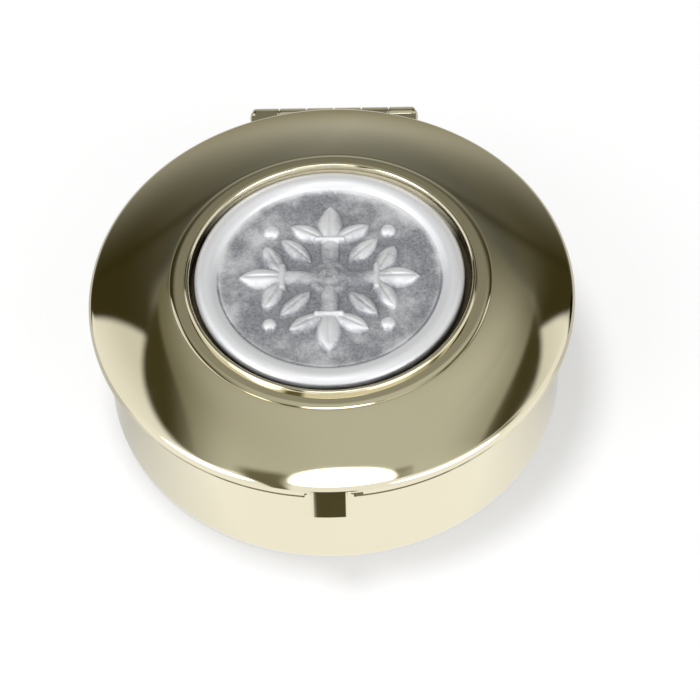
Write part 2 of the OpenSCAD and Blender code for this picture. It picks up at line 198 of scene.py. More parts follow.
# One broad soft lamp, high up on the left and aimed at the box, gives the soft shadow to the right
bpy.ops.object.light_add(type="AREA", location=[part * MM for part in SOFT_LAMP_AT])
lamp = bpy.context.object
lamp.name = "soft_lamp"
lamp.data.shape = "DISK"
lamp.data.size = SOFT_LAMP_SIZE * MM
lamp.data.energy = SOFT_LAMP_WATTS
lamp.visible_glossy = False
lamp.visible_camera = False
lamp.rotation_euler = (-Vector(SOFT_LAMP_AT)).to_track_quat("-Z", "Y").to_euler()

# Camera 400 mm from the box, 53 degrees up, a little to the right and rolled 3 degrees
view_from = Matrix.Rotation(math.radians(CAMERA_RIGHT), 4, "Z")
view_from = view_from @ Matrix.Rotation(math.radians(90 - CAMERA_UP), 4, "X")
view_from = view_from @ Matrix.Rotation(math.radians(CAMERA_ROLL), 4, "Z")
bpy.ops.object.camera_add()
camera = bpy.context.object
camera.matrix_world = view_from @ Matrix.Translation([part * MM for part in CAMERA_AT])
camera.data.lens = LENS
camera.data.sensor_width = SENSOR
camera.data.clip_start = CLIP * MM
bpy.context.scene.camera = camera
bpy.context.scene.view_settings.view_transform = "Standard"


# Cup
# The cup is drawn from one sheet of brass, its foot bent, its wall straight and its rim turned
# out, then plated and mirror polished on a buffing wheel like the rest of the box.
CUP_H, CUP_T, CUP_R, FOOT_R = 15.75, 0.7, 26.85, 1.2
RIM_BEND, RIM_EDGE = 0.3, 0.35
HINGE_Y, HINGE_Z, HINGE_W = 28.5, 14.3045, 20.1
# Behind the hinge the rim is cut back to the wall, clear of the circle that the knuckles sweep
SWEEP_R, RELIEF_GAP, RELIEF_Z = 1.32, 0.12, 14.75
# Steps of a turned solid, the short straight beside a bend, and the hair's width that keeps the
# faces of two solids out of one plane
TURNS, STRAIGHT, HAIR = 512, 0.1, 0.01
# Points closer than this are one point
WELD = 0.0001
# How far apart the plating's drifts of tone, its haze, its buffing rings and its waves lie
DRIFT, HAZE, RING, WAVE = 18.18, 6.25, 0.15, 9.09


def arc(mid, r, start, end, steps):
    """Points along an arc, in degrees, counted from the outward direction."""
    angles = [math.radians(start + (end - start) * i / steps) for i in range(steps + 1)]
    return [(mid[0] + r * math.cos(a), mid[1] + r * math.sin(a)) for a in angles]


def circle(y, z, r, steps=64):
    """Closed outline of a circle."""
    return arc((y, z), r, 0, 360, steps)[:-1]


def oblong(low, high):
    """Closed outline of a rectangle between its lowest and highest corner."""
    return [low, (high[0], low[1]), high, (low[0], high[1])]


def outline_loop(name, points, place):
    """A closed loop of edges through the points, each put in space by place()."""
    bpy.ops.object.select_all(action="DESELECT")
    bpy.ops.mesh.primitive_circle_add(vertices=len(points), radius=MM)
    piece = bpy.context.object
    piece.name = name
    for vertex, point in zip(piece.data.vertices, points):
        vertex.co = Vector(place(*point)) * MM
    bpy.ops.object.mode_set(mode="EDIT")
    bpy.ops.mesh.select_all(action="SELECT")
    return piece


def turned(name, outline, steps=TURNS):
    """A solid turned about the box's axis from an outline of (radius, height) in millimetres."""
    piece = outline_loop(name, outline, lambda r, z: (r, 0, z))
    bpy.ops.object.mode_set(mode="OBJECT")
    lathe = piece.modifiers.new("lathe", "SCREW")
    lathe.axis = "Z"
    lathe.steps = lathe.render_steps = steps
    lathe.use_merge_vertices = True
    lathe.merge_threshold = WELD * MM
    bpy.ops.object.modifier_apply(modifier=lathe.name)
    bpy.ops.object.mode_set(mode="EDIT")
    bpy.ops.mesh.select_all(action="SELECT")
    bpy.ops.mesh.remove_doubles(threshold=WELD * MM)
    bpy.ops.mesh.delete_loose(use_verts=False, use_edges=True, use_faces=False)
    bpy.ops.mesh.select_all(action="SELECT")
    bpy.ops.mesh.normals_make_consistent(inside=False)
    bpy.ops.object.mode_set(mode="OBJECT")
    return piece


def drawn_bar(name, outline, start, end, along="X"):
    """A straight bar along X or Y, with a closed outline of (y, z) or (x, z), in millimetres."""
    if along == "X":
        piece = outline_loop(name, outline, lambda y, z: (start, y, z))
        run = ((end - start) * MM, 0, 0)
    else:
        piece = outline_loop(name, outline, lambda x, z: (x, start, z))
        run = (0, (end - start) * MM, 0)
    bpy.ops.mesh.edge_face_add()
    bpy.ops.mesh.extrude_region_move(TRANSFORM_OT_translate={"value": run})
    bpy.ops.mesh.select_all(action="SELECT")
    bpy.ops.mesh.normals_make_consistent(inside=False)
    bpy.ops.object.mode_set(mode="OBJECT")
    return piece


def combine(piece, other, how):
    """Cuts the other solid from the piece, or joins it on, and clears it away."""
    bpy.ops.object.select_all(action="DESELECT")
    bpy.context.view_layer.objects.active = piece
    piece.select_set(True)
    step = piece.modifiers.new("work", "BOOLEAN")
    step.operation = how
    step.solver = "EXACT"
    step.object = other
    bpy.ops.object.modifier_apply(modifier=step.name)
    bpy.data.objects.remove(other)


def smooth(piece, angle=30):
    """Smooth faces that keep every edge sharper than the angle."""
    bpy.ops.object.select_all(action="DESELECT")
    bpy.context.view_layer.objects.active = piece
    piece.select_set(True)
    bpy.ops.object.shade_smooth_by_angle(angle=math.radians(angle))


# Plated brass, mirror polished: pale champagne gold, near-mirror gloss, with the soft waviness of
# pressed sheet, faint rings from the buffing wheel and a haze of handling
plated = bpy.data.materials.new("mirror polished plated brass")
plated.use_nodes = True
tree = plated.node_tree
gloss = tree.nodes["Principled BSDF"]
gloss.inputs["Metallic"].default_value = 1
where = add_node(tree, "ShaderNodeTexCoord", {}, {})
drift = add_node(tree, "ShaderNodeTexNoise", {"Scale": 1 / (DRIFT * MM), "Detail": 2},
                 {"Vector": where.outputs["Object"]})
tone = add_node(tree, "ShaderNodeMix", {"data_type": "RGBA", 6: linear("#e2dbc1"), 7: linear("#e8e1c9")},
                {0: drift.outputs["Fac"]})
tree.links.new(tone.outputs[2], gloss.inputs["Base Color"])
haze = add_node(tree, "ShaderNodeTexNoise", {"Scale": 1 / (HAZE * MM), "Detail": 4, "Roughness": 0.6},
                {"Vector": where.outputs["Object"]})
blur = add_node(tree, "ShaderNodeMapRange", {"From Min": 0.35, "From Max": 0.75,
                                             "To Min": 0.035, "To Max": 0.075},
                {"Value": haze.outputs["Fac"]})
tree.links.new(blur.outputs[0], gloss.inputs["Roughness"])
# The buffing rings run round the box, drawn coarser than real ones so that they show, and fade in
# and out along their length
split = add_node(tree, "ShaderNodeSeparateXYZ", {}, {0: where.outputs["Object"]})
level = add_node(tree, "ShaderNodeCombineXYZ", {}, {0: split.outputs["X"], 1: split.outputs["Y"]})
reach = add_node(tree, "ShaderNodeVectorMath", {"operation": "LENGTH"}, {0: level.outputs[0]})
heading = add_node(tree, "ShaderNodeVectorMath", {"operation": "NORMALIZE"}, {0: level.outputs[0]})
turned_to = add_node(tree, "ShaderNodeSeparateXYZ", {}, {0: heading.outputs[0]})
climb = add_node(tree, "ShaderNodeMath", {"operation": "ADD"},
                 {0: reach.outputs["Value"], 1: split.outputs["Z"]})
pitch = add_node(tree, "ShaderNodeMath", {"operation": "MULTIPLY", 1: 1 / (RING * MM)}, {0: climb.outputs[0]})
ring = add_node(tree, "ShaderNodeCombineXYZ", {}, {0: pitch.outputs[0], 1: turned_to.outputs[0],
                                                   2: turned_to.outputs[1]})
rings = add_node(tree, "ShaderNodeTexNoise", {"Scale": 1, "Detail": 2}, {"Vector": ring.outputs[0]})
sheet = add_node(tree, "ShaderNodeTexNoise", {"Scale": 1 / (WAVE * MM), "Detail": 1},
                 {"Vector": where.outputs["Object"]})
wavy = add_node(tree, "ShaderNodeBump", {"Strength": 0.5, "Distance": 0.01 * MM},
                {"Height": sheet.outputs["Fac"]})
buffed = add_node(tree, "ShaderNodeBump", {"Strength": 0.06, "Distance": 0.002 * MM},
                  {"Height": rings.outputs["Fac"], "Normal": wavy.outputs[0]})
tree.links.new(buffed.outputs[0], gloss.inputs["Normal"])

foot_in = FOOT_R - CUP_T
cup_in = CUP_R - CUP_T
bend_mid = (CUP_R + RIM_BEND, CUP_H - CUP_T - RIM_BEND)
cup = turned("cup_polished", [
    (0, 0),
    (CUP_R - FOOT_R - STRAIGHT, 0),
    *arc((CUP_R - FOOT_R, FOOT_R), FOOT_R, -90, 0, 12),
    (CUP_R, FOOT_R + STRAIGHT),
    (CUP_R, bend_mid[1] - STRAIGHT),
    *arc(bend_mid, RIM_BEND, 180, 90, 8),
    *arc((CUP_R + RIM_EDGE, CUP_H - RIM_EDGE), RIM_EDGE, -90, 90, 12),
    *arc(bend_mid, RIM_BEND + CUP_T, 90, 180, 12),
    (cup_in, FOOT_R + STRAIGHT),
    *arc((cup_in - foot_in, FOOT_R), foot_in, 0, -90, 8),
    (cup_in - foot_in - STRAIGHT, CUP_T),
    (0, CUP_T),
])
# Here and below, a cutting tool reaches a few millimetres past what it cuts
relief_x = HINGE_W / 2 + RELIEF_GAP
relief = turned("rim_relief", oblong((CUP_R + 2 * HAIR, RELIEF_Z), (32, 18)), 256)
combine(relief, drawn_bar("keep", oblong((20, 10), (40, 20)), -relief_x, relief_x), "INTERSECT")
combine(cup, relief, "DIFFERENCE")
combine(cup, drawn_bar("sweep", circle(HINGE_Y, HINGE_Z, SWEEP_R), -relief_x, relief_x), "DIFFERENCE")
smooth(cup)
cup.data.materials.append(plated)
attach(cup, "box")
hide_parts("box_cup")


# Cup's hinge leaf
# One strip of sheet, bent to the wall as an apron, turned out as a shelf and curled into three
# knuckles whose ends are rounded; it is soldered on the back of the cup.
KNUCKLES, KNUCKLE_R, LEAF_T, PIN_BORE, SEAM = 6, 1.2, 0.6, 0.55, 0.12
KNUCKLE_GAP, KNUCKLE_EDGE, END_EDGE = 0.03, 0.2, 0.5
PITCH, LEAF_HALF = HINGE_W / KNUCKLES, (HINGE_W - KNUCKLE_GAP) / 2
CUP_STRIP_FROM, APRON_BOTTOM, APRON_TOP, APRON_CORNER = 24, 9.7045, 13.4, 1.5


def curled(name, front_y, up):
    """The leaf's strip with its curl, whose flat lies below the pin, or above it when up is -1."""
    rise = LEAF_T - SEAM
    outer_end = math.degrees(math.asin(rise / KNUCKLE_R))
    inner_end = math.degrees(math.asin(rise / PIN_BORE))
    curl = [(front_y - HINGE_Y, -KNUCKLE_R),
            *arc((0, 0), KNUCKLE_R, -90, 180 + outer_end, 60),
            *arc((0, 0), PIN_BORE, 180 + inner_end, -90, 40),
            (0, -LEAF_T), (front_y - HINGE_Y, -LEAF_T)]
    return drawn_bar(name, [(HINGE_Y + y, HINGE_Z + up * z) for y, z in curl], -LEAF_HALF, LEAF_HALF)


def turned_on_pin(name, outline, steps):
    """A solid turned about the hinge pin from an outline of (radius, distance along X)."""
    piece = turned(name, outline, steps)
    to_pin = Matrix.Translation((0, HINGE_Y * MM, HINGE_Z * MM)) @ Matrix.Rotation(math.radians(90), 4, "Y")
    piece.data.transform(to_pin)
    return piece


def knuckle_x(k):
    """Where knuckle k starts; they are 0 to 5 from the left, and -1 and 6 lie past the ends."""
    return (k - KNUCKLES / 2) * PITCH


def notched(piece, numbers):
    """Clears room for the other leaf's knuckles, rounding the ends of those that stay."""
    for k in numbers:
        x0 = knuckle_x(k) - KNUCKLE_GAP / 2
        x1 = x0 + PITCH + KNUCKLE_GAP
        edge0 = END_EDGE if k == KNUCKLES else KNUCKLE_EDGE
        edge1 = END_EDGE if k == -1 else KNUCKLE_EDGE
        start = [(r, -x) for r, x in arc((KNUCKLE_R - edge0, -x0 + edge0), edge0, -90, 0, 6)]
        end = arc((KNUCKLE_R - edge1, x1 + edge1), edge1, -90, 0, 6)
        spool = turned_on_pin("spool", [(0, x0), *start, (SWEEP_R, start[-1][1]), (SWEEP_R, end[-1][1]),
                                        *reversed(end), (0, x1)], 96)
        combine(piece, spool, "DIFFERENCE")


cup_leaf = curled("cup_leaf_curled", CUP_STRIP_FROM, 1)
skirt = turned("skirt", oblong((25.5, 9), (CUP_R + LEAF_T, APRON_TOP)))
corner_x, corner_z = LEAF_HALF - APRON_CORNER, APRON_BOTTOM + APRON_CORNER
skirt_shape = [*arc((corner_x, corner_z), APRON_CORNER, -90, 0, 12),
               (LEAF_HALF - HAIR, 15), (HAIR - LEAF_HALF, 15),
               *arc((-corner_x, corner_z), APRON_CORNER, 180, 270, 12)]
combine(skirt, drawn_bar("skirt_shape", skirt_shape, 15, 40, "Y"), "INTERSECT")
combine(cup_leaf, skirt, "UNION")
combine(cup_leaf, turned("wall", oblong((0, 5), (CUP_R + HAIR, 15))), "DIFFERENCE")
notched(cup_leaf, (0, 2, 4, KNUCKLES))
smooth(cup_leaf)
cup_leaf.data.materials.append(plated)
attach(cup_leaf, "box")
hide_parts("box_hinge_leaf")


# Lid
# The lid is pressed from one sheet: a shallow dome with a pan for the medallion, a tight shoulder,
# a short lip that closes over the cup's rim, and a thumb tab flared out between two relief cuts.
LID_R, LID_T, SHOULDER_R = 28.5, 0.7, 1.0
# Middles of the shoulder's and the dome's arcs, which meet at the dome's edge, in degrees
SHOULDER = (LID_R - SHOULDER_R, 15.5045)
DOME, DOME_R, DOME_EDGE = (16.0679, -12.2319), 31.0, 67.6
# The lip's lower edge, its rounding outside and inside, and how high its painted shade line rises
LIP_Z, LIP_EDGE, LIP_EDGE_IN, LIP_LINE = 14.9545, 0.26, 0.2, 0.5
# The medallion's land with its crisp crease, and the pan inside it
LAND_R, LAND_Z, CREASE = 18.85, 18.643, 0.03
PAN_Z, PAN_R, PAN_BEND = 17.193, 16.55, 0.25
# The tab, and the relief cuts beside it, which slant outwards over their height
TAB_FLARE, TAB_L, TAB_W, TAB_EDGE, TAB_DEPTH = 30, 3.1, 4.25, 0.12, 0.9
CUT_W, CUT_SLANT, CUT_H = 0.38, 0.5, 0.8
# Room beside each knuckle of the cup's leaf in the lip's cut
SCALLOP_GAP = 0.12
# Round the rim, half the tab, a relief cut and half the hinge's cut are whole steps of the mesh
TAB_STEPS, CUT_STEPS, HINGE_STEPS = 6, 1, 30
# The painted shade along the lip: where it starts and is thickest, front to back, its patches, their
# reach, and how far it climbs beside the relief cuts, over this many steps
LIP_SHADE_FROM, LIP_SHADE_FULL, LIP_SHADE_PATCH, LIP_SHADE_REACH = -18, -27, 2.5, 5
CLIMB, CLIMB_RIGHT, CLIMB_LEFT = 0.4, 4, 1
# The painted shade round the medallion: its mottling, its edge on the pan, and where it turns pale towards
# the back
SHADE_MOTTLE, GROOVE_SHADE_EDGE, PALER_FROM, PALER_TO = 0.4, 0.24, 7, 13
# Heights closer than this count as the same
NEAR = 0.001

land_start = math.degrees(math.acos((LAND_R - DOME[0]) / DOME_R))
under_start = math.degrees(math.acos((LAND_R - DOME[0]) / (DOME_R - LID_T)))
under_z = DOME[1] + (DOME_R - LID_T) * math.sin(math.radians(under_start))
bend_out = PAN_BEND + LID_T
lid = turned("lid_polished", [
    (0, PAN_Z),
    (PAN_R - PAN_BEND - STRAIGHT, PAN_Z),
    *arc((PAN_R - PAN_BEND, PAN_Z + PAN_BEND), PAN_BEND, -90, 0, 5),
    *arc((PAN_R + PAN_BEND, LAND_Z - PAN_BEND), PAN_BEND, 180, 90, 5),
    (LAND_R - CREASE, LAND_Z),
    *arc(DOME, DOME_R, land_start, DOME_EDGE, 44),
    *arc(SHOULDER, SHOULDER_R, DOME_EDGE, TAB_FLARE, 12)[1:],
    *arc(SHOULDER, SHOULDER_R - LID_T, TAB_FLARE, DOME_EDGE, 6),
    *arc(DOME, DOME_R - LID_T, DOME_EDGE, under_start, 22)[1:],
    (PAN_R + LID_T, under_z),
    *arc((PAN_R + LID_T - bend_out, PAN_Z - LID_T + bend_out), bend_out, 0, -90, 8),
    (PAN_R + LID_T - bend_out - STRAIGHT, PAN_Z - LID_T),
    (0, PAN_Z - LID_T),
])


def draw_down(piece, start, wanted, stations):
    """Extrudes the rim's narrow faces, where wanted(angle) says so, on through the stations.

    The start and each station are a pair of (radius, height) points, one on each side of the sheet."""
    bpy.ops.object.select_all(action="DESELECT")
    bpy.context.view_layer.objects.active = piece
    piece.select_set(True)
    bpy.ops.object.mode_set(mode="EDIT")
    bpy.ops.mesh.select_mode(type="FACE")
    bpy.ops.mesh.select_all(action="DESELECT")
    mesh = bmesh.from_edit_mesh(piece.data)
    ends = [Vector((r * MM, z * MM)) for r, z in start]
    middle = (ends[0] + ends[1]) / 2
    for face in mesh.faces:
        spot = face.calc_center_median()
        flat = Vector((spot.xy.length, spot.z))
        across = max((Vector((v.co.xy.length, v.co.z)) - middle).length for v in face.verts)
        if (flat - middle).length < HAIR * MM and across < 0.51 * (ends[0] - ends[1]).length:
            face.select = wanted(math.degrees(math.atan2(spot.y, spot.x)))
    bmesh.update_edit_mesh(piece.data)
    for station in stations:
        bpy.ops.mesh.extrude_region()
        mesh = bmesh.from_edit_mesh(piece.data)
        goal = [Vector((r * MM, z * MM)) for r, z in station]
        for vertex in mesh.verts:
            if vertex.select:
                flat = Vector((vertex.co.xy.length, vertex.co.z))
                side = min((0, 1), key=lambda k: (flat - ends[k]).length)
                vertex.co.xy *= goal[side].x / vertex.co.xy.length
                vertex.co.z = goal[side].y
        ends = goal
        bmesh.update_edit_mesh(piece.data)
    bpy.ops.object.mode_set(mode="OBJECT")


def from_front(angle):
    """Degrees round the rim from the middle of the front."""
    return abs((angle + 90 + 180) % 360 - 180)


def from_back(angle):
    """Degrees round the rim from the middle of the hinge."""
    return abs((angle - 90 + 180) % 360 - 180)


step = 360 / TURNS
tab_half = TAB_STEPS * step
relief_half = tab_half + CUT_STEPS * step
hinge_half = HINGE_STEPS * step
shoulder_out = arc(SHOULDER, SHOULDER_R, TAB_FLARE, 0, 8)
shoulder_in = arc(SHOULDER, SHOULDER_R - LID_T, TAB_FLARE, 0, 8)
rim = list(zip(shoulder_out, shoulder_in))
draw_down(lid, rim[0], lambda a: from_front(a) > relief_half, rim[1:])
lip_out = arc((LID_R - LIP_EDGE, LIP_Z + LIP_EDGE), LIP_EDGE, 0, -90, 8)
lip_in = arc((LID_R - LID_T + LIP_EDGE_IN, LIP_Z + LIP_EDGE_IN), LIP_EDGE_IN, 180, 270, 8)
draw_down(lid, rim[-1], lambda a: from_front(a) > relief_half and from_back(a) > hinge_half,
          [((LID_R, LIP_Z + LIP_LINE), (LID_R - LID_T, LIP_Z + LIP_LINE)), *zip(lip_out, lip_in)])
out_dir = (math.sin(math.radians(TAB_FLARE)), -math.cos(math.radians(TAB_FLARE)))
tab_run = [[(r + s * out_dir[0], z + s * out_dir[1]) for r, z in rim[0]]
           for s in (STRAIGHT, 1.0, 2.0, TAB_L - STRAIGHT, TAB_L)]
draw_down(lid, rim[0], lambda a: from_front(a) < tab_half, tab_run)

# The tab's sides run straight down, and the relief cuts slant away from it
tab_r, tab_top = rim[0][0]
tab_under = rim[0][1][1]
for vertex in lid.data.vertices:
    spot = vertex.co / MM
    away = from_front(math.degrees(math.atan2(spot.y, spot.x)))
    if away < relief_half + 0.1 * step and spot.z < tab_under - NEAR:
        if abs(away - relief_half) < 0.1 * step:
            drop = min(1, (tab_top - spot.z) / CUT_H)
            vertex.co.x = math.copysign(TAB_W / 2 + CUT_W + CUT_SLANT * drop, spot.x) * MM
        elif spot.y < -LID_R + TAB_DEPTH:
            vertex.co.x = spot.x / (spot.xy.length / tab_r) * MM

# The tab's long edges are filed round
tab_x = tab_r * math.sin(math.radians(tab_half))
bpy.ops.object.select_all(action="DESELECT")
bpy.context.view_layer.objects.active = lid
lid.select_set(True)
bpy.ops.object.mode_set(mode="EDIT")
bpy.ops.mesh.select_mode(type="EDGE")
bpy.ops.mesh.select_all(action="DESELECT")
mesh = bmesh.from_edit_mesh(lid.data)
for edge in mesh.edges:
    run = (edge.verts[0].co - edge.verts[1].co).normalized()
    spot = (edge.verts[0].co + edge.verts[1].co) / 2 / MM
    along = abs(run.y * out_dir[0] - run.z * out_dir[1]) > 0.99
    outermost = abs(abs(spot.x) - tab_x) < 0.1
    if along and outermost and spot.y < -LID_R + TAB_DEPTH and spot.z < tab_top:
        edge.select = True
bmesh.update_edit_mesh(lid.data)
bpy.ops.mesh.bevel(offset=TAB_EDGE * MM, segments=5, affect="EDGES")
bpy.ops.object.mode_set(mode="OBJECT")

# The lip's cut over the hinge is scalloped where the cup's knuckles swing past
scallops = [drawn_bar("scallop", circle(HINGE_Y, HINGE_Z, SWEEP_R), knuckle_x(k) - SCALLOP_GAP,
                      knuckle_x(k + 1) + SCALLOP_GAP) for k in (1, 3, 5)]
for more in scallops[1:]:
    combine(scallops[0], more, "UNION")
combine(lid, scallops[0], "DIFFERENCE")
smooth(lid)
lid.data.materials.append(plated)

# Painted shade: a brown darkening along the lip's cut edge, most at the front, stands in for the shade
# beneath the lip that the edge reflects, and a dark painted shade fills the groove round the medallion
painted_lip_shade = bpy.data.materials.new("painted shade along the lip's cut edge")
painted_lip_shade.use_nodes = True
tree = painted_lip_shade.node_tree
gloss = tree.nodes["Principled BSDF"]
gloss.inputs["Metallic"].default_value = 1
gloss.inputs["Roughness"].default_value = 0.3
where = add_node(tree, "ShaderNodeTexCoord", {}, {})
split = add_node(tree, "ShaderNodeSeparateXYZ", {}, {0: where.outputs["Object"]})
patchy = add_node(tree, "ShaderNodeTexNoise", {"Scale": 1 / (LIP_SHADE_PATCH * MM), "Detail": 2},
                  {"Vector": where.outputs["Object"]})
spread = add_node(tree, "ShaderNodeMapRange", {"To Min": -LIP_SHADE_REACH * MM, "To Max": LIP_SHADE_REACH * MM},
                  {"Value": patchy.outputs["Fac"]})
front = add_node(tree, "ShaderNodeMath", {"operation": "ADD"}, {0: split.outputs["Y"], 1: spread.outputs[0]})
shaded_along_lip = add_node(tree, "ShaderNodeMapRange", {"interpolation_type": "SMOOTHSTEP",
                                             "From Min": LIP_SHADE_FROM * MM, "From Max": LIP_SHADE_FULL * MM},
                {"Value": front.outputs[0]})
tone = add_node(tree, "ShaderNodeMix", {"data_type": "RGBA", 6: linear("#e2dbc1"), 7: linear("#6f6447")},
                {0: shaded_along_lip.outputs[0]})
tree.links.new(tone.outputs[2], gloss.inputs["Base Color"])
painted_groove_shade = bpy.data.materials.new("painted shade in the groove round the medallion")
painted_groove_shade.use_nodes = True
tree = painted_groove_shade.node_tree
gloss = tree.nodes["Principled BSDF"]
gloss.inputs["Roughness"].default_value = 0.55
where = add_node(tree, "ShaderNodeTexCoord", {}, {})
mottle = add_node(tree, "ShaderNodeTexNoise", {"Scale": 1 / (SHADE_MOTTLE * MM), "Detail": 3},
                  {"Vector": where.outputs["Object"]})
tone = add_node(tree, "ShaderNodeMix", {"data_type": "RGBA", 6: linear("#15120a"), 7: linear("#39321f")},
                {0: mottle.outputs["Fac"]})
# At the back, where the medallion comes close to the bezel, the painted shade gives way to a pale tone
split = add_node(tree, "ShaderNodeSeparateXYZ", {}, {0: where.outputs["Object"]})
paler_to_back = add_node(tree, "ShaderNodeMapRange", {"From Min": PALER_FROM * MM, "From Max": PALER_TO * MM},
                 {"Value": split.outputs["Y"]})
groove = add_node(tree, "ShaderNodeMix", {"data_type": "RGBA", 7: linear("#cfc8b0")},
                  {0: paler_to_back.outputs[0], 6: tone.outputs[2]})
tree.links.new(groove.outputs[2], gloss.inputs["Base Color"])
lid.data.materials.append(painted_lip_shade)
lid.data.materials.append(painted_groove_shade)
# Faces of the pan round the medallion take the painted shade in the groove
for face in lid.data.polygons:
    spot = face.center / MM
    if PAN_Z - HAIR < spot.z < LAND_Z - 2 * HAIR and spot.xy.length < PAN_R + GROOVE_SHADE_EDGE:
        face.material_index = 2
    # Faces along the lip's lower edge and beside the relief cuts take the painted shade along the lip
    past_cut = from_front(math.degrees(math.atan2(spot.y, spot.x))) / step - relief_half / step
    climbs = past_cut < (CLIMB_RIGHT if spot.x > 0 else CLIMB_LEFT)
    top = LIP_Z + LIP_LINE - HAIR + (CLIMB if climbs else 0)
    if spot.z < top and spot.xy.length > LID_R - LID_T - HAIR and past_cut > 0.1:
        face.material_index = 1
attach(lid, "lid")
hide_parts("lid_shell")


# Lid's hinge leaf
# The other strip lies flat under the lid's cut lip, soldered there, and is curled into the three
# knuckles between the cup's.
LID_STRIP_FROM, LID_STRIP_INSIDE = 22, 27.05

lid_leaf = curled("lid_leaf_curled", LID_STRIP_FROM, -1)
combine(lid_leaf, turned("inside", oblong((0, 14), (LID_STRIP_INSIDE, 17))), "DIFFERENCE")
notched(lid_leaf, (-1, 1, 3, 5))
smooth(lid_leaf)
lid_leaf.data.materials.append(plated)
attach(lid_leaf, "lid")
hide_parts("lid_hinge_leaf")


# Hinge pin
# A straight pin of plated brass wire, pushed through the knuckles and peened over into a low head
# at each end of the hinge.
PIN_R, SHAFT_HALF, HEAD_R, HEAD_H = 0.5, 10.04, 0.8, 0.25

head_bow = (HEAD_R ** 2 + HEAD_H ** 2) / (2 * HEAD_H)
head_half = math.degrees(math.asin(HEAD_R / head_bow))
head = arc((0, SHAFT_HALF + HEAD_H - head_bow), head_bow, 90 - head_half, 90, 10)
pin = turned_on_pin("pin_peened", [
    (0, -head[-1][1]),
    *[(r, -h) for r, h in reversed(head[:-1])],
    (PIN_R, -SHAFT_HALF),
    (PIN_R, SHAFT_HALF),
    *head[:-1],
    (0, head[-1][1]),
], 64)
smooth(pin)
pin.data.materials.append(plated)
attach(pin, "box")
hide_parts("hinge_pin")


# Bezel
# A turned ring with a narrow rounded bead round its bore and a thin flange that slopes down at its
# outer edge, soldered on the lid's flat.
BORE_R, BEAD_R, BEAD_RISE, BEZEL_R, BEZEL_T = 16.52, 0.3, 0.52, 18.75, 0.2
EDGE_R, EDGE_SLOPE = 1.5, 24.5

bead_out = BORE_R + 2 * BEAD_R
flange_z = LAND_Z + BEZEL_T
slope_in = BEZEL_R - EDGE_R * math.sin(math.radians(EDGE_SLOPE))
bezel = turned("bezel_polished", [
    (BORE_R, LAND_Z),
    *arc((BORE_R + BEAD_R, LAND_Z + BEAD_RISE), BEAD_R, 180, 0, 24),
    (bead_out, flange_z),
    (bead_out + STRAIGHT, flange_z),
    (slope_in - STRAIGHT, flange_z),
    *arc((slope_in, flange_z - EDGE_R), EDGE_R, 90, 90 - EDGE_SLOPE, 8),
    (BEZEL_R, LAND_Z),
])
smooth(bezel)
bezel.data.materials.append(plated)
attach(bezel, "lid")
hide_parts("medallion_bezel")


# Bond
# A thin bed of clear epoxy holds the medallion in the lid's pan; the part's own solid is kept for
# it, as the disc covers it.
BUBBLE = 1.2

epoxy = bpy.data.materials.new("clear epoxy with a few fine bubbles")
epoxy.use_nodes = True
tree = epoxy.node_tree
gloss = tree.nodes["Principled BSDF"]
gloss.inputs["Transmission Weight"].default_value = 0.5
gloss.inputs["Roughness"].default_value = 0.2
where = add_node(tree, "ShaderNodeTexCoord", {}, {})
bubbles = add_node(tree, "ShaderNodeTexVoronoi", {"Scale": 1 / (BUBBLE * MM)},
                   {"Vector": where.outputs["Object"]})
rise = add_node(tree, "ShaderNodeMapRange", {"From Min": 0.08, "From Max": 0.12},
                {"Value": bubbles.outputs["Distance"]})
tone = add_node(tree, "ShaderNodeMix", {"data_type": "RGBA", 6: linear("#f4f3ea"), 7: linear("#dfdccb")},
                {0: rise.outputs[0]})
tree.links.new(tone.outputs[2], gloss.inputs["Base Color"])
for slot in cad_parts["medallion_bond"].material_slots:
    slot.material = epoxy


# Medallion
# A disc of cast pewter, its border and relief buffed bright and its field left sandblasted, bonded
# in the lid's pan a little off centre, to the back and the left.
MED_R, MED_X, MED_Y, MED_CHAMFER = 15.77, -0.15, 0.45, 0.1
MED_Z, MED_EDGE_Z, FIELD_Z = 17.343, 18.403, 18.153
BORDER_W, BORDER_H, COVE_W, COVE_H = 2.55, 0.6, 1.6, 0.25
MED_TURNS, FIELD_RINGS = 640, 96
# The fine groove inside the border, which runs out towards the back
GROOVE_R, GROOVE_DEEP, GROOVE_BACK, GROOVE_FADE = 13.08, 0.15, 4, 6
# The boss in the middle of the ornament, with a ring sunk in it
BOSS_R, BOSS_H, BOSS_FOOT = 2.6, 0.6, 0.15
RING_R, RING_W, RING_DEEP = 1.5, 0.28, 0.2
# Each arm: half the bar's width, its height and length, and the collar across its end
BAR_HALF, BAR_H, BAR_L = 1.15, 0.62, 6
COLLAR_AT, COLLAR_HALF, COLLAR_END, COLLAR_H = 5.5, 0.5, 2.1, 0.8
# The leaves' length, width and height, where they grow from and how far the side ones lean
TIP_LEAF, TIP_ROOT = (5.6, 3.1, 0.8), 5
SIDE_LEAF, SIDE_LEAN = (4.6, 2.5, 0.72), 62
CORNER_LEAF, CORNER_ROOT = (5, 2.5, 0.74), 3
VEIN_DEEP, VEIN_W = 0.14, 0.2
BERRY_AT, BERRY_R, BERRY_H = 9.7, 0.95, 0.7
# How softly each form rises out of the field
FOOT_SOFT = 0.05

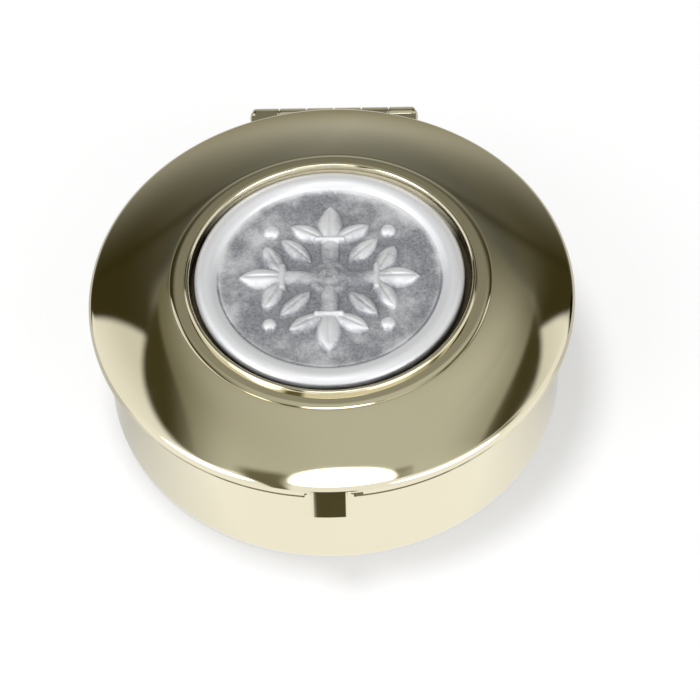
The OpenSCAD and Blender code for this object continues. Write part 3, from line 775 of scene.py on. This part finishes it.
bow = ((BORDER_W / 2) ** 2 + BORDER_H ** 2) / (2 * BORDER_H)
half = math.degrees(math.asin(BORDER_W / 2 / bow))
cove = (COVE_W ** 2 + COVE_H ** 2) / (2 * COVE_H)
cove_half = math.degrees(math.asin(COVE_W / cove))
field_edge = MED_R - BORDER_W - COVE_W
medallion = turned("medallion_cast", [
    (0, MED_Z),
    (MED_R - MED_CHAMFER, MED_Z),
    (MED_R, MED_Z + MED_CHAMFER),
    *arc((MED_R - BORDER_W / 2, MED_EDGE_Z + BORDER_H - bow), bow, 90 - half, 90 + half, 18),
    (GROOVE_R, MED_EDGE_Z - GROOVE_DEEP),
    *arc((field_edge, FIELD_Z + cove), cove, cove_half - 90, -90, 10)[2:],
    *[(field_edge * i / FIELD_RINGS, FIELD_Z) for i in range(FIELD_RINGS - 1, 0, -1)],
    (0, FIELD_Z),
], MED_TURNS)


def leaf_height(u, v, length, width, height):
    """Height of a domed, veined leaf at u across and v along from its root, in millimetres."""
    bow_r = (length ** 2 + width ** 2) / (4 * width)
    if not 0 < v < length:
        return 0
    wide = math.sqrt(bow_r ** 2 - (v - length / 2) ** 2) - (bow_r - width / 2)
    if abs(u) >= wide:
        return 0
    dome = (1 - (u / wide) ** 2) ** 0.7
    tall = height * (0.25 + 0.75 * math.sqrt(2 * wide / width))
    vein = VEIN_DEEP * math.exp(-(u / VEIN_W) ** 2) * min(1, 2 * wide / width)
    return max(0, tall * dome - vein)


def bar_height(u, half_w, height):
    """Height of a rounded bar at u across."""
    return height * (1 - (u / half_w) ** 2) ** 0.6 if abs(u) < half_w else 0


def along_axis(x, y, turn):
    """The same point across and along an axis that is turned by some degrees from the Y axis."""
    a = math.radians(turn)
    return x * math.cos(a) + y * math.sin(a), y * math.cos(a) - x * math.sin(a)


def relief_height(x, y):
    """Height of the cast ornament above the field, a cross of leaves with berries between."""
    best = 0
    away = math.hypot(x, y)
    if away < BOSS_R:
        best = BOSS_H * math.sqrt(1 - (away / BOSS_R) ** 2) + BOSS_FOOT
        best -= RING_DEEP * math.exp(-((away - RING_R) / RING_W) ** 2)
    for quarter in range(4):
        u, v = along_axis(x, y, 90 * quarter)
        if v > 0:
            if v < BAR_L:
                best = max(best, bar_height(u, BAR_HALF, BAR_H))
            if abs(u) < COLLAR_END:
                end = min(1, 2 * (COLLAR_END - abs(u)))
                best = max(best, bar_height(v - COLLAR_AT, COLLAR_HALF, COLLAR_H) * end)
            best = max(best, leaf_height(u, v - TIP_ROOT, *TIP_LEAF))
            for side in (-1, 1):
                across, along = along_axis(u + side * BAR_HALF / 2, v - COLLAR_AT, SIDE_LEAN * side)
                best = max(best, leaf_height(across, along, *SIDE_LEAF))
        u, v = along_axis(x, y, 90 * quarter + 45)
        if v > 0:
            best = max(best, leaf_height(u, v - CORNER_ROOT, *CORNER_LEAF))
            berry = math.hypot(u, v - BERRY_AT)
            if berry < BERRY_R:
                best = max(best, BERRY_H * math.sqrt(1 - (berry / BERRY_R) ** 2))
    return best * best / (best + FOOT_SOFT) if best > 0 else 0


for vertex in medallion.data.vertices:
    x, y, z = vertex.co / MM
    away = math.hypot(x, y)
    if abs(z - FIELD_Z) < NEAR and away < field_edge - HAIR:
        vertex.co.z = (FIELD_Z + relief_height(x, y)) * MM
    elif abs(z - MED_EDGE_Z + GROOVE_DEEP) < NEAR and abs(away - GROOVE_R) < HAIR:
        depth = min(1, max(0.1, (GROOVE_BACK - y) / GROOVE_FADE))
        vertex.co.z = (MED_EDGE_Z - depth * GROOVE_DEEP) * MM
medallion.data.transform(Matrix.Translation((MED_X * MM, MED_Y * MM, 0)))
smooth(medallion, 60)

# Cast pewter, neutral grey: the border and the tops of the relief are rubbed nearly white, satin
# enough to return the lamps' light from every side; the blasted field and the foot of each form
# keep a grey patina. The blasting's pits are about 0.15 mm across, so they repeat every 0.3 mm, and
# the patina is smeared over about 4 mm
GRIT, SMEAR, SMEAR_RISE = 0.3, 4, 0.8
# The border is rubbed right across, from where it rises out of the field, and the middle least
RUBBED_FROM, RUBBED_FULL, BORDER_RUB = 12.4, 13.6, 0.4
MIDDLE_R, MIDDLE_RUB, OUTER_RUB = 9, -0.5, 0.2
pewter = bpy.data.materials.new("cast pewter, rubbed bright over a blasted field")
pewter.use_nodes = True
tree = pewter.node_tree
gloss = tree.nodes["Principled BSDF"]
gloss.inputs["Metallic"].default_value = 0.62
where = add_node(tree, "ShaderNodeTexCoord", {}, {})
split = add_node(tree, "ShaderNodeSeparateXYZ", {}, {0: where.outputs["Object"]})
grit = add_node(tree, "ShaderNodeTexNoise", {"Scale": 1 / (GRIT * MM), "Detail": 3, "Roughness": 0.7},
                {"Vector": where.outputs["Object"]})
smear = add_node(tree, "ShaderNodeTexNoise", {"Scale": 1 / (SMEAR * MM), "Detail": 4, "Roughness": 0.6},
                 {"Vector": where.outputs["Object"]})
lift = add_node(tree, "ShaderNodeMapRange", {"To Min": -SMEAR_RISE * MM, "To Max": SMEAR_RISE * MM},
                {"Value": smear.outputs["Fac"]})
level = add_node(tree, "ShaderNodeMath", {"operation": "ADD"}, {0: split.outputs["Z"], 1: lift.outputs[0]})
flat = add_node(tree, "ShaderNodeCombineXYZ", {}, {0: split.outputs["X"], 1: split.outputs["Y"]})
centred = add_node(tree, "ShaderNodeVectorMath", {"operation": "SUBTRACT", 1: (MED_X * MM, MED_Y * MM, 0)},
                   {0: flat.outputs[0]})
reach = add_node(tree, "ShaderNodeVectorMath", {"operation": "LENGTH"}, {0: centred.outputs[0]})
border = add_node(tree, "ShaderNodeMapRange", {"interpolation_type": "SMOOTHSTEP",
                                               "From Min": RUBBED_FROM * MM, "From Max": RUBBED_FULL * MM,
                                               "To Max": BORDER_RUB * MM},
                  {"Value": reach.outputs["Value"]})
dulled = add_node(tree, "ShaderNodeMapRange", {"From Max": MIDDLE_R * MM, "To Min": MIDDLE_RUB * MM,
                                               "To Max": OUTER_RUB * MM},
                  {"Value": reach.outputs["Value"]})
# Painted shade: the fine groove inside the border is darkened at the front only, where shade falls in it
aside = add_node(tree, "ShaderNodeMath", {"operation": "SUBTRACT", 1: GROOVE_R * MM},
                 {0: reach.outputs["Value"]})
off_groove = add_node(tree, "ShaderNodeMath", {"operation": "ABSOLUTE"}, {0: aside.outputs[0]})
front_groove_shade = add_node(tree, "ShaderNodeMapRange", {"From Min": 0.06 * MM, "From Max": 0.22 * MM,
                                                "To Min": -0.6 * MM, "To Max": 0},
                   {"Value": off_groove.outputs[0]})
to_front = add_node(tree, "ShaderNodeMapRange", {"From Min": GROOVE_BACK * MM, "From Max": -GROOVE_BACK * MM},
                    {"Value": split.outputs["Y"]})
front_groove_shade = add_node(tree, "ShaderNodeMath", {"operation": "MULTIPLY"},
                   {0: front_groove_shade.outputs[0], 1: to_front.outputs[0]})
border_rub_and_groove_shade = add_node(tree, "ShaderNodeMath", {"operation": "ADD"},
                    {0: border.outputs[0], 1: front_groove_shade.outputs[0]})
rub = add_node(tree, "ShaderNodeMath", {"operation": "ADD"}, {0: border_rub_and_groove_shade.outputs[0], 1: dulled.outputs[0]})
raised = add_node(tree, "ShaderNodeMath", {"operation": "ADD"}, {0: level.outputs[0], 1: rub.outputs[0]})
# This mask carries the real rubbing and patina, and the painted shade in the groove at the front
rubbed = add_node(tree, "ShaderNodeMapRange", {"interpolation_type": "SMOOTHSTEP",
                                               "From Min": (FIELD_Z - 0.04) * MM,
                                               "From Max": (FIELD_Z + 0.8) * MM},
                  {"Value": raised.outputs[0]})
tone = add_node(tree, "ShaderNodeMix", {"data_type": "RGBA", 6: linear("#818388"), 7: linear("#d0d1d5")},
                {0: rubbed.outputs[0]})
fleck = add_node(tree, "ShaderNodeMapRange", {"From Min": 0.3, "From Max": 0.7,
                                              "To Min": 0.62, "To Max": 1.35},
                 {"Value": grit.outputs["Fac"]})
even = add_node(tree, "ShaderNodeMix", {3: 1}, {0: rubbed.outputs[0], 2: fleck.outputs[0]})
dusted = add_node(tree, "ShaderNodeVectorMath", {"operation": "SCALE"},
                  {0: tone.outputs[2], "Scale": even.outputs[0]})
tree.links.new(dusted.outputs[0], gloss.inputs["Base Color"])
satin = add_node(tree, "ShaderNodeMapRange", {"To Min": 0.6, "To Max": 0.38}, {"Value": rubbed.outputs[0]})
tree.links.new(satin.outputs[0], gloss.inputs["Roughness"])
pits = add_node(tree, "ShaderNodeBump", {"Strength": 0.5, "Distance": 0.03 * MM},
                {"Height": grit.outputs["Fac"]})
tree.links.new(pits.outputs[0], gloss.inputs["Normal"])
medallion.data.materials.append(pewter)
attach(medallion, "lid")
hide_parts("medallion")
